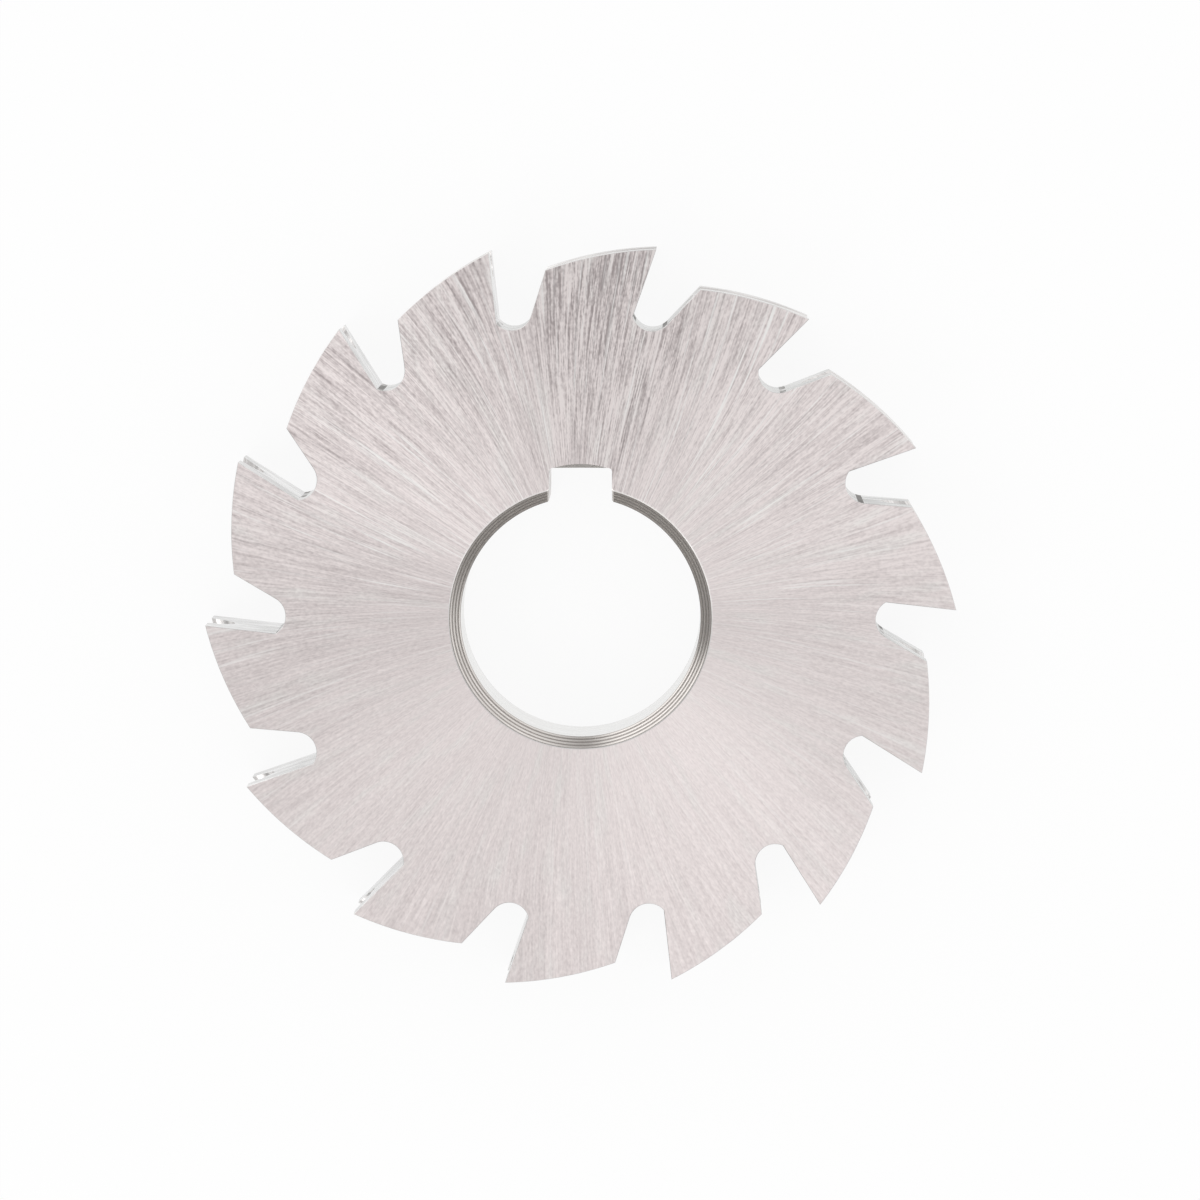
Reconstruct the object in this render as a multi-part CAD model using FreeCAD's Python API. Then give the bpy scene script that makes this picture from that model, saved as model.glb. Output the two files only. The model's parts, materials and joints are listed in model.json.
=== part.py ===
import FreeCAD, Part
import math
import os

from FreeCAD import Vector

# A concave milling cutter: one form-relieved disc of high speed steel with a half-round groove
# along every tooth. It lies flat, axis along +Z, origin on the axis in the lower side face,
# with the keyway towards +Y. Seen from +Z the teeth cut clockwise. Lengths are mm, angles degrees.

# Blank
CUTTER_DIAMETER = 50.0
CUTTER_WIDTH = 8.0

# Bore and keyway
BORE_DIAMETER = 16.0
BORE_CHAMFER = 0.75
KEYWAY_WIDTH = 4.2
KEYWAY_ROOF_HEIGHT = 10.0
KEYWAY_CORNER_RADIUS = 0.25
ROOF_DEBURR_RADIUS = 6.0
ROOF_DEBURR_SIZE = 0.27

# Teeth and gullets
TOOTH_COUNT = 14
FIRST_TIP_ANGLE = 11.62
RAKE_ANGLE = 7.7
GULLET_DEPTH = 5.37
GULLET_NOSE_RADIUS = 1.35
FACE_GRINDING_STOCK = 0.26
TOOTH_BACK_ANGLE = 31.7

# Relieved form
RELIEF_ANGLE = 13.1
FORM_RADIUS = 1.6
FORM_CHAMFER = 0.25

# Room that the cutting tools keep outside the steel
TOOL_OVERRUN = 1.0

TIP_RADIUS = CUTTER_DIAMETER / 2
BORE_RADIUS = BORE_DIAMETER / 2
TOOTH_PITCH = 360.0 / TOOTH_COUNT
RELIEF_PER_PITCH = math.pi * CUTTER_DIAMETER / TOOTH_COUNT * math.tan(math.radians(RELIEF_ANGLE))
AXIS = Vector(0, 0, 1)
CENTRE = Vector(0, 0, 0)


def straight(start, end):
    """One straight edge."""
    return Part.LineSegment(start, end).toShape()


def rounded(start, middle, end):
    """One arc edge through three points."""
    return Part.Arc(start, middle, end).toShape()


def prism(edges, height):
    """A closed outline in a plane z = constant, extruded upwards."""
    return Part.Face(Part.Wire(edges)).extrude(AXIS * height)


def turned_blank():
    """The disc as it leaves the lathe: bored, and chamfered at both mouths of the bore."""
    mouth_radius = BORE_RADIUS + BORE_CHAMFER
    section = [
        Vector(mouth_radius, 0, 0),
        Vector(TIP_RADIUS, 0, 0),
        Vector(TIP_RADIUS, 0, CUTTER_WIDTH),
        Vector(mouth_radius, 0, CUTTER_WIDTH),
        Vector(BORE_RADIUS, 0, CUTTER_WIDTH - BORE_CHAMFER),
        Vector(BORE_RADIUS, 0, BORE_CHAMFER),
        Vector(mouth_radius, 0, 0),
    ]
    return Part.Face(Part.makePolygon(section)).revolve(CENTRE, AXIS, 360)


def keyway_broach():
    """The broach's path through the bore wall, with its two rounded corners."""
    half_width = KEYWAY_WIDTH / 2
    height = CUTTER_WIDTH + 2 * TOOL_OVERRUN
    slot = Part.makeBox(KEYWAY_WIDTH, KEYWAY_ROOF_HEIGHT, height, Vector(-half_width, 0, -TOOL_OVERRUN))
    corners = [
        edge
        for edge in slot.Edges
        if edge.BoundBox.ZLength > CUTTER_WIDTH and edge.BoundBox.YMin > KEYWAY_ROOF_HEIGHT / 2
    ]
    return slot.makeFillet(KEYWAY_CORNER_RADIUS, corners)


def roof_deburr(face_height, outward):
    """The hollow bevel on the keyway roof's edge at one side face, between the rounded corners."""
    crown_height = KEYWAY_ROOF_HEIGHT + ROOF_DEBURR_SIZE
    bevel_centre = Vector(0, crown_height - ROOF_DEBURR_RADIUS, face_height)
    inner_radius = ROOF_DEBURR_RADIUS - 2 * ROOF_DEBURR_SIZE
    outer_radius = ROOF_DEBURR_RADIUS + TOOL_OVERRUN
    bottom = bevel_centre - AXIS * (2 * ROOF_DEBURR_SIZE * outward)
    cone = Part.makeCone(inner_radius, outer_radius, 2 * ROOF_DEBURR_SIZE + TOOL_OVERRUN, bottom, AXIS * outward)
    straight_roof = KEYWAY_WIDTH - 2 * KEYWAY_CORNER_RADIUS
    clip_corner = Vector(-straight_roof / 2, BORE_RADIUS + BORE_CHAMFER, face_height - TOOL_OVERRUN)
    clip = Part.makeBox(straight_roof, KEYWAY_ROOF_HEIGHT, 2 * TOOL_OVERRUN, clip_corner)
    return cone.common(clip)


def gullet():
    """The gash between two teeth, for the tooth whose tip points along +Y.

    The face is ground back from the gash by its stock, so it meets the rounded floor at a corner.
    The tooth's back rises from the floor at its own angle, tangent to the nose of the gash.
    """
    rake = math.radians(RAKE_ANGLE)
    back = math.radians(TOOTH_BACK_ANGLE)
    low = Vector(0, 0, -TOOL_OVERRUN)
    tip = Vector(0, TIP_RADIUS, 0) + low
    outward_along_face = Vector(math.sin(rake), math.cos(rake), 0)
    away_from_face = Vector(math.cos(rake), -math.sin(rake), 0)
    outward_along_back = Vector(math.sin(back), math.cos(back), 0)
    down_from_back = Vector(math.cos(back), -math.sin(back), 0)

    nose_height = TIP_RADIUS - GULLET_DEPTH + GULLET_NOSE_RADIUS
    nose_offset = GULLET_NOSE_RADIUS - FACE_GRINDING_STOCK
    depth_along_face = (TIP_RADIUS - nose_height - nose_offset * math.sin(rake)) / math.cos(rake)
    nose_centre = tip + away_from_face * nose_offset - outward_along_face * depth_along_face

    corner_angle = math.acos(nose_offset / GULLET_NOSE_RADIUS)
    corner_drop = GULLET_NOSE_RADIUS * math.sin(corner_angle)
    corner = nose_centre - away_from_face * nose_offset - outward_along_face * corner_drop
    floor = nose_centre - Vector(0, GULLET_NOSE_RADIUS, 0)
    back_foot = nose_centre + down_from_back * GULLET_NOSE_RADIUS

    reach = GULLET_DEPTH + TOOL_OVERRUN
    face_top = tip + outward_along_face * TOOL_OVERRUN
    back_top = back_foot + outward_along_back * (reach / math.cos(back))
    edges = [
        straight(face_top, corner),
        rounded(corner, floor, back_foot),
        straight(back_foot, back_top),
        straight(back_top, face_top),
    ]
    return prism(edges, CUTTER_WIDTH + 2 * TOOL_OVERRUN)


def spiral_point(behind_tip):
    """A point of the relief spiral, this many degrees behind a tip that points along +Y."""
    radius = TIP_RADIUS - RELIEF_PER_PITCH * behind_tip / TOOTH_PITCH
    angle = math.radians(90 + behind_tip)
    return Vector(radius * math.cos(angle), radius * math.sin(angle), 0)


def relief():
    """The path of the form tool over one tooth, as an arc through the spiral's tip, middle and heel.

    Its section is the land's two flats, the chamfers at the groove's mouth and the half-round nose.
    The tool enters in the gullet ahead of the tip and leaves in the one behind the heel.
    """
    tip = spiral_point(0)
    land = Part.Arc(tip, spiral_point(TOOTH_PITCH / 3), spiral_point(TOOTH_PITCH * 2 / 3)).toShape().Curve
    pivot = land.Center
    outward = (tip - pivot).normalize()
    stock = RELIEF_PER_PITCH + TOOL_OVERRUN
    half_height = CUTTER_WIDTH / 2 + TOOL_OVERRUN
    mouth_half_width = FORM_RADIUS + FORM_CHAMFER
    chamfer_depth = (mouth_half_width - math.sqrt(2 * FORM_RADIUS**2 - mouth_half_width**2)) / 2
    nose_half_width = mouth_half_width - chamfer_depth

    def section_point(depth, from_middle):
        return pivot + outward * (land.Radius - depth) + AXIS * (CUTTER_WIDTH / 2 + from_middle)

    half_section = [
        (-stock, half_height),
        (0, half_height),
        (0, mouth_half_width),
        (chamfer_depth, nose_half_width),
    ]
    lower = [section_point(depth, -height) for depth, height in half_section]
    upper = [section_point(depth, height) for depth, height in reversed(half_section)]
    edges = [straight(start, end) for start, end in zip(lower, lower[1:])]
    edges.append(rounded(lower[-1], section_point(FORM_RADIUS, 0), upper[0]))
    edges += [straight(start, end) for start, end in zip(upper, upper[1:])]
    edges.append(straight(upper[-1], lower[0]))
    section = Part.Face(Part.Wire(edges))
    lead_in = TOOTH_PITCH / 6
    run_out = TOOTH_PITCH * 9 / 10
    section.rotate(pivot, AXIS, -lead_in)
    return section.revolve(pivot, AXIS, lead_in + run_out)


def turned_copies(tool):
    """The same tool at every tooth."""
    copies = []
    for tooth in range(TOOTH_COUNT):
        copy = tool.copy()
        copy.rotate(CENTRE, AXIS, tooth * TOOTH_PITCH - FIRST_TIP_ANGLE)
        copies.append(copy)
    return copies


def concave_cutter():
    """The finished cutter: turned, broached, gashed and then relieved tooth by tooth."""
    cutter = turned_blank()
    cutter = cutter.cut(keyway_broach())
    cutter = cutter.cut([roof_deburr(CUTTER_WIDTH, 1), roof_deburr(0, -1)])
    cutter = cutter.cut(turned_copies(gullet()))
    cutter = cutter.cut(turned_copies(relief()))
    return cutter.removeSplitter()


def main():
    os.makedirs("parts", exist_ok=True)
    cutter = concave_cutter().Solids[0]
    cutter.exportStep("parts/concave_cutter.step")
    print("concave_cutter", "valid", cutter.isValid(), "volume", round(cutter.Volume, 2))
    print("faces", len(cutter.Faces), "box", cutter.BoundBox)


main()
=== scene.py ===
import json
import logging
import math
from dataclasses import dataclass, field
from enum import Enum

import bpy
import numpy as np
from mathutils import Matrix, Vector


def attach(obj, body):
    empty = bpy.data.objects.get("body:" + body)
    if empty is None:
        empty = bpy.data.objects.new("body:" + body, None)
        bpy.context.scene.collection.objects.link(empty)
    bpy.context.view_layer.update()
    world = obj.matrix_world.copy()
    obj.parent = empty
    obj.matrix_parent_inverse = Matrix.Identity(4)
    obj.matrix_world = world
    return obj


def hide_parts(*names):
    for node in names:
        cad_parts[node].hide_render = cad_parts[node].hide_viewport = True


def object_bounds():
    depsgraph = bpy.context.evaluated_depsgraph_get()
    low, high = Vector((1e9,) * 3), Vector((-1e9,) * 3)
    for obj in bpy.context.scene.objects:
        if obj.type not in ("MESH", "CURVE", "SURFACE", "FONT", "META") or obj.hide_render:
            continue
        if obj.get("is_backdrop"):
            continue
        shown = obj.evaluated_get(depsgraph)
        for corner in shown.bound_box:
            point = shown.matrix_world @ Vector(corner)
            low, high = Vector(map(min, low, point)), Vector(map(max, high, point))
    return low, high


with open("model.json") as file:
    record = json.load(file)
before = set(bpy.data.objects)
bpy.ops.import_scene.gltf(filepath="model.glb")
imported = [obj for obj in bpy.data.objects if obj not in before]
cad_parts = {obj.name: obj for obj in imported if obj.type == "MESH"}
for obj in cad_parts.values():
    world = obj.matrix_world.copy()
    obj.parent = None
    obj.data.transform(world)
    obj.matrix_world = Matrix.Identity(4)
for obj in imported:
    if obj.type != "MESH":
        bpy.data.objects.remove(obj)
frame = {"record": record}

CAD_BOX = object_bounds()
MM = 0.001
WHITE = (1.0, 1.0, 1.0, 1.0)
LOG = logging.getLogger("cutter")

MOUNTS = {mount["name"]: mount for mount in frame["record"]["mounts"]}
WIDTH = MOUNTS["upper_side_face"]["pos_m"][2]
BORE_RADIUS = MOUNTS["bore"]["dims"]["r_mm"] * MM
KEYWAY_ROOF = MOUNTS["keyway"]["pos_m"][1]

Values = float | np.ndarray
Triple = tuple[float, float, float]
Socket = bpy.types.NodeSocket
NodeTree = bpy.types.NodeTree


class Finish(Enum):
    """The finishes on the cutter, in the order of its material slots."""

    SIDE = "side_face_ground"
    LAND = "relieved_land"
    FACE = "tooth_face_ground"
    GASH = "gash_milled"
    CORNER = "gash_corner"
    EDGE = "edge_break"
    CHAMFER = "bore_chamfer_turned"
    BORE = "bore_ground"
    KEYWAY = "keyway_broached"

    @property
    def slot(self) -> int:
        """Its place among the material slots."""
        return list(Finish).index(self)


class Lines(Enum):
    """The ways in which the machines' lines run, each with the name of its node group."""

    RADIAL = "radial_lines"
    HOOP = "hoop_lines"
    RELIEVED = "relieved_lines"
    AXIAL = "axial_lines"
    FEED = "feed_lines"


DRIFTS = {Lines.HOOP: 1.6, Lines.RELIEVED: 3.0, Lines.AXIAL: 0.25, Lines.FEED: 0.3}


def turned(points: np.ndarray, angle: Values) -> np.ndarray:
    """Turns plan points about the cutter's axis: (x cos a - y sin a, x sin a + y cos a).

    Args:
        points: Plan points, (..., 2).
        angle: Radians, counter-clockwise, broadcast over the points.

    Returns:
        The turned points, (..., 2).
    """
    x, y = points[..., 0], points[..., 1]
    c, s = np.cos(angle), np.sin(angle)
    return np.stack([x * c - y * s, x * s + y * c], axis=-1)


def blend(start: Values, end: Values, share: np.ndarray) -> np.ndarray:
    """Straight interpolation: start + (end - start) times share."""
    return start + (end - start) * share


def shares(steps: int) -> np.ndarray:
    """Even shares from 0 up to 1, without the 1: k / steps."""
    return np.arange(steps) / steps


def direction(angle: float) -> np.ndarray:
    """The plan direction at this clockwise angle from +Y: (sin a, cos a)."""
    return np.array([math.sin(angle), math.cos(angle)])


def right_of(way: np.ndarray) -> np.ndarray:
    """A plan direction turned clockwise by a right angle: (y, -x)."""
    return np.array([way[1], -way[0]])


def bearing(points: np.ndarray, centre: np.ndarray) -> np.ndarray:
    """The angle of plan points about a centre, from +X."""
    return np.arctan2(points[..., 1] - centre[1], points[..., 0] - centre[0])


def to_circle(foot: np.ndarray, way: np.ndarray, centre: np.ndarray, radius: np.ndarray) -> np.ndarray:
    """Distance from foot along way to a circle: the larger root s of |foot + s way - centre| = radius.

    Args:
        foot: A plan point on the line.
        way: The line's unit direction.
        centre: The circle's centre.
        radius: One or more radii.

    Returns:
        s for each radius.
    """
    arm = foot - centre
    middle = -arm @ way
    return middle + np.sqrt(middle**2 - arm @ arm + radius**2)


@dataclass(frozen=True)
class ToothForm:
    """The gashed and relieved rim, drawn for a tooth whose tip points along +Y.

    The ring is a plain circle inside the gullets, and its turns are the angles behind a tip at which
    the lines from the rim's tip, heel, back foot and gullet corner meet it.
    """

    count: int = 14
    tip_radius: float = 25.0 * MM
    width: float = WIDTH
    first_tip: float = math.radians(-11.62)
    rake: float = math.radians(7.7)
    gullet_depth: float = 5.37 * MM
    nose_radius: float = 1.35 * MM
    face_stock: float = 0.26 * MM
    back_angle: float = math.radians(31.7)
    relief_angle: float = math.radians(13.1)
    form_radius: float = 1.6 * MM
    form_chamfer: float = 0.25 * MM
    edge_break: float = 0.035 * MM
    ring_radius: float = 19.0 * MM
    ring_turns: tuple[float, ...] = tuple(math.radians(turn) for turn in (8.0, 16.2, 21.2, 28.3))
    land_steps: int = 18
    back_steps: int = 7
    nose_steps: int = 14
    face_steps: int = 9
    corner_steps: int = 2
    groove_steps: int = 22

    @property
    def pitch(self) -> float:
        """The angle from tooth to tooth."""
        return 2 * math.pi / self.count

    @property
    def steps(self) -> int:
        """Mesh columns in one tooth pitch."""
        return self.land_steps + self.back_steps + self.nose_steps + self.face_steps

    @property
    def columns(self) -> int:
        """Mesh columns round the whole cutter."""
        return self.steps * self.count

    @property
    def tips(self) -> np.ndarray:
        """The angle of each tooth's tip from +Y, counter-clockwise."""
        return self.first_tip + self.pitch * np.arange(self.count)

    def land_circle(self) -> tuple[np.ndarray, float]:
        """The circle through three points of the relief spiral.

        The points are at the tip and at a third and two thirds of a pitch behind it, and the centre
        solves the two equations of equal distance to them.

        Returns:
            The centre in plan and the radius.
        """
        drop = 2 * math.pi * self.tip_radius / self.count * math.tan(self.relief_angle)
        share = np.array([0.0, 1 / 3, 2 / 3])
        radius = self.tip_radius - drop * share
        angle = share * self.pitch
        spiral = np.stack([-radius * np.sin(angle), radius * np.cos(angle)], axis=1)
        sides = 2 * (spiral[1:] - spiral[0])
        squares = (spiral**2).sum(axis=1)
        centre = np.linalg.solve(sides, squares[1:] - squares[0])
        return centre, float(np.linalg.norm(spiral[0] - centre))

    def gullet(self) -> tuple[np.ndarray, float]:
        """The gullet's nose and the foot of the tooth face.

        The nose is a circle that touches the gullet's floor. It crosses the tooth face's line, because
        the face was ground back by its stock.

        Returns:
            The nose's centre in plan, and the foot's place along the face from the tip, below zero.
        """
        up = direction(self.rake)
        height = self.tip_radius - self.gullet_depth + self.nose_radius
        offset = self.nose_radius - self.face_stock
        down = (self.tip_radius - height - offset * math.sin(self.rake)) / math.cos(self.rake)
        drop = math.sqrt(self.nose_radius**2 - offset**2)
        centre = np.array([0.0, self.tip_radius]) + right_of(up) * offset - up * down
        return centre, -(down + drop)

    def section(self) -> tuple[np.ndarray, np.ndarray]:
        """The rim's section from the upper edge break to the lower one.

        Flat land, 45 degree chamfer where a line at 45 degrees meets the circle, then the half-round
        groove as (R sin g, R cos g), and the same again mirrored.

        Returns:
            Height of each row and the groove's depth there.
        """
        mouth = self.form_radius + self.form_chamfer
        bevel = (mouth - math.sqrt(2 * self.form_radius**2 - mouth**2)) / 2
        reach = math.asin((mouth - bevel) / self.form_radius)
        turn = np.linspace(reach, -reach, self.groove_steps + 1)
        half = self.width / 2
        edge = half - self.edge_break
        rise = np.concatenate([[edge, mouth], self.form_radius * np.sin(turn), [-mouth, -edge]])
        depth = np.concatenate([[0.0, 0.0], self.form_radius * np.cos(turn), [0.0, 0.0]])
        return rise + half, depth

    def outline(self, depth: np.ndarray) -> np.ndarray:
        """The rim's outline at one or more depths of the groove, counter-clockwise from the first tip.

        For each depth the land is the land circle less the depth, between its crossings with the
        tooth face and with the back line. The back and face run straight from there to the nose arc
        of the gullet, and the whole pitch is turned on by one pitch for each tooth.

        Args:
            depth: Groove depths, (rows,).

        Returns:
            Plan points, (rows, columns, 2).
        """
        centre, radius = self.land_circle()
        nose, face_foot = self.gullet()
        reach = radius - depth[:, None]
        up_face, up_back = direction(self.rake), direction(self.back_angle)
        tip = np.array([0.0, self.tip_radius])
        back_foot = turned(nose + right_of(up_back) * self.nose_radius, self.pitch)
        next_back = turned(up_back, self.pitch)
        to_tip = to_circle(tip, up_face, centre, reach)
        to_heel = to_circle(back_foot, next_back, centre, reach)
        land_start = tip + up_face * to_tip[..., None]
        land_end = back_foot + next_back * to_heel[..., None]

        turn = blend(bearing(land_start, centre), bearing(land_end, centre), shares(self.land_steps))
        land = np.stack([centre[0] + reach * np.cos(turn), centre[1] + reach * np.sin(turn)], axis=-1)
        back = blend(land_end, back_foot[None, None], shares(self.back_steps)[None, :, None])
        corner = tip + up_face * face_foot
        turn = blend(-self.back_angle, bearing(corner, nose), shares(self.nose_steps))
        arc = nose + self.nose_radius * np.stack([np.cos(turn), np.sin(turn)], axis=-1)
        arc = np.broadcast_to(turned(arc, self.pitch), (len(depth), self.nose_steps, 2))
        slide = blend(face_foot, to_tip, shares(self.face_steps)[None])
        face = turned(tip + up_face * slide[..., None], self.pitch)
        tooth = np.concatenate([land, back, arc, face], axis=1)
        return turned(tooth[:, None], self.tips[None, :, None]).reshape(len(depth), self.columns, 2)

    def ring_angles(self) -> np.ndarray:
        """Angles from +Y on the ring inside the gullets, so that lines from there to the rim never cross.

        Piecewise straight from tip to heel, back foot, gullet corner and next tip.

        Returns:
            One angle for each column.
        """
        knots = np.cumsum([0, self.land_steps, self.back_steps, self.nose_steps, self.face_steps])
        turn = np.append(self.ring_turns, self.ring_turns[0] + self.pitch)
        one = np.interp(np.arange(self.steps), knots, turn)
        return (self.tips[:, None] + one[None]).ravel()

    def inset(self, outline: np.ndarray, amount: float) -> np.ndarray:
        """An outline moved into the steel.

        Each corner moves along (n1 + n2) / (1 + n1 . n2), with n1 and n2 its two sides' normals.

        Args:
            outline: Plan points, (columns, 2).
            amount: How far each side moves.

        Returns:
            The moved points, (columns, 2).
        """
        side = np.roll(outline, -1, axis=0) - outline
        side /= np.linalg.norm(side, axis=1, keepdims=True)
        after = np.stack([-side[:, 1], side[:, 0]], axis=1)
        before = np.roll(after, 1, axis=0)
        share = 1 + (after * before).sum(axis=1, keepdims=True)
        return outline + amount * (after + before) / share

    def finishes(self) -> np.ndarray:
        """The finish of the rim's wall, in order round each tooth.

        Returns:
            The material slot of each column.
        """
        plain_nose = self.nose_steps - 2 * self.corner_steps
        round_tooth = [
            (Finish.LAND.slot, self.land_steps),
            (Finish.GASH.slot, self.back_steps),
            (Finish.CORNER.slot, self.corner_steps),
            (Finish.GASH.slot, plain_nose),
            (Finish.CORNER.slot, self.corner_steps),
            (Finish.FACE.slot, self.face_steps),
        ]
        slots, steps = zip(*round_tooth)
        return np.tile(np.repeat(slots, steps), self.count)


@dataclass(frozen=True)
class BoreForm:
    """The bore with its turned chamfers, and the broached keyway with the bevel on its roof's edges."""

    radius: float = BORE_RADIUS
    chamfer: float = 0.75 * MM
    width: float = WIDTH
    ridges: int = 4
    ridge_height: float = 0.008 * MM
    ridge_steps: int = 6
    lip: float = 0.05 * MM
    lip_drop: float = 0.015 * MM
    keyway_half: float = 2.1 * MM
    roof_height: float = KEYWAY_ROOF
    corner_radius: float = 0.25 * MM
    bevel_radius: float = 6.0 * MM
    bevel_size: float = 0.27 * MM
    mouth_break: float = 0.09 * MM
    plain_rows: int = 3
    side_steps: int = 4
    corner_steps: int = 5
    roof_steps: int = 26

    @property
    def channel_steps(self) -> int:
        """Mesh columns across the keyway."""
        return 2 + 2 * self.side_steps + 2 * self.corner_steps + self.roof_steps

    def profile(self) -> tuple[np.ndarray, np.ndarray]:
        """The bore's section, from the upper face to the lower.

        Each chamfer is a 45 degree line with scallops |sin|, as a round-nosed tool leaves them,
        sunk at right angles to the line. A narrow lip slopes down to it from the side face.

        Returns:
            Radius and height of each row.
        """
        share = np.linspace(0, 1, self.ridges * self.ridge_steps + 1)
        sunk = self.ridge_height * np.abs(np.sin(np.pi * self.ridges * share)) / math.sqrt(2)
        radius = self.radius + self.chamfer * (1 - share) + sunk
        height = self.width - self.chamfer * share - sunk
        radius[0] -= self.lip_drop
        height[0] = self.width - self.lip_drop
        radius = np.concatenate([[self.radius + self.chamfer + self.lip], radius])
        height = np.concatenate([[self.width], height])
        middle = np.linspace(self.width - self.chamfer, self.chamfer, self.plain_rows + 2)[1:-1]
        radius = np.concatenate([radius, np.full(self.plain_rows, self.radius), radius[::-1]])
        height = np.concatenate([height, middle, (self.width - height)[::-1]])
        return radius, height

    def roof(self) -> tuple[np.ndarray, np.ndarray, np.ndarray]:
        """The keyway's roof and the bevel on its edges.

        The bevel is a cone of 45 degrees. At the side face it stands at an arc, and on the roof it is
        as deep as the arc's radius less the distance from the arc's centre.

        Returns:
            Across the roof: x, the bevel's y at the side face, and its depth on the roof.
        """
        flat = self.keyway_half - self.corner_radius
        x = np.linspace(flat, -flat, self.roof_steps + 1)
        centre = self.roof_height + self.bevel_size - self.bevel_radius
        crown = np.maximum(centre + np.sqrt(self.bevel_radius**2 - x**2), self.roof_height)
        return x, crown, self.bevel_radius - np.sqrt(x**2 + (self.roof_height - centre) ** 2)

    def channel(self, radius: np.ndarray) -> np.ndarray:
        """The keyway in plan at each row: side, corner, roof, corner and side.

        A side is a straight line from the bore, a corner is a quarter circle, and the far half is the
        near one mirrored. In the first and last rows the roof is at the bevel's arc.

        Args:
            radius: The bore's radius at each row.

        Returns:
            Plan points, (rows, columns across the keyway, 2).
        """
        rows, half = len(radius), self.keyway_half
        foot = np.sqrt(radius**2 - half**2)[:, None] + self.mouth_break
        side_top = self.roof_height - self.corner_radius
        side_y = blend(foot, side_top, shares(self.side_steps)[None])
        side = np.stack([np.full_like(side_y, half), side_y], axis=-1)
        turn = shares(self.corner_steps) * np.pi / 2
        corner_x = half - self.corner_radius + self.corner_radius * np.cos(turn)
        corner_y = side_top + self.corner_radius * np.sin(turn)
        corner = np.broadcast_to(np.stack([corner_x, corner_y], axis=-1), (rows, self.corner_steps, 2))
        roof_x, crown, _ = self.roof()
        roof = np.stack([roof_x, np.full_like(roof_x, self.roof_height)], axis=-1)
        roof = np.broadcast_to(roof, (rows, *roof.shape)).copy()
        roof[[0, -1], :, 1] = crown
        mirror = np.array([-1.0, 1.0])
        far_half = [corner[:, ::-1] * mirror, side[:, ::-1] * mirror]
        return np.concatenate([side, corner, roof, *far_half], axis=1)

    def wall(self, columns: int) -> np.ndarray:
        """The inside wall as a closed grid, counter-clockwise from the keyway's side at +X.

        Round the bore each row is a circle between the keyway's sides, with the keyway between its
        ends. Under the roof the rows are squeezed towards the middle, to start where the bevel ends.

        Args:
            columns: Mesh columns in all.

        Returns:
            Points, (rows, columns, 3).
        """
        radius, height = self.profile()
        start = np.arcsin((self.keyway_half + self.mouth_break) / radius)[:, None]
        share = np.linspace(0, 1, columns - self.channel_steps + 1)
        turn = blend(start, 2 * np.pi - start, share[None])
        bore = np.stack([-radius[:, None] * np.sin(turn), radius[:, None] * np.cos(turn)], axis=-1)
        plan = np.concatenate([bore[:, -1:], self.channel(radius), bore[:, :-1]], axis=1)

        level = np.broadcast_to(height[:, None], (len(radius), columns)).copy()
        first = 1 + self.side_steps + self.corner_steps
        bevel = np.maximum(self.roof()[2], self.width - height[1])
        middle = self.width / 2
        squeeze = (middle - bevel) / (height[1] - middle)
        below_roof = slice(first, first + self.roof_steps + 1)
        level[1:-1, below_roof] = middle + (height[1:-1, None] - middle) * squeeze[None]
        return np.concatenate([plan, level[..., None]], axis=2)

    def finishes(self, columns: int) -> np.ndarray:
        """The finish of each face of the inside wall.

        Args:
            columns: Mesh columns in all.

        Returns:
            Material slots, (rows - 1, columns).
        """
        _, height = self.profile()
        middle = (height[1:] + height[:-1]) / 2
        on_chamfer = np.abs(middle - self.width / 2) > self.width / 2 - self.chamfer
        index = np.where(on_chamfer, Finish.CHAMFER.slot, Finish.BORE.slot)
        faces = np.repeat(index[:, None], columns, axis=1)
        faces[[0, -1]] = Finish.EDGE.slot
        faces[:, : self.channel_steps] = Finish.KEYWAY.slot
        return faces


@dataclass(frozen=True)
class Step:
    """A smooth step: as a value goes from low to high, the result goes from start to end."""

    low: float
    high: float
    start: float = 0.0
    end: float = 1.0


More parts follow.
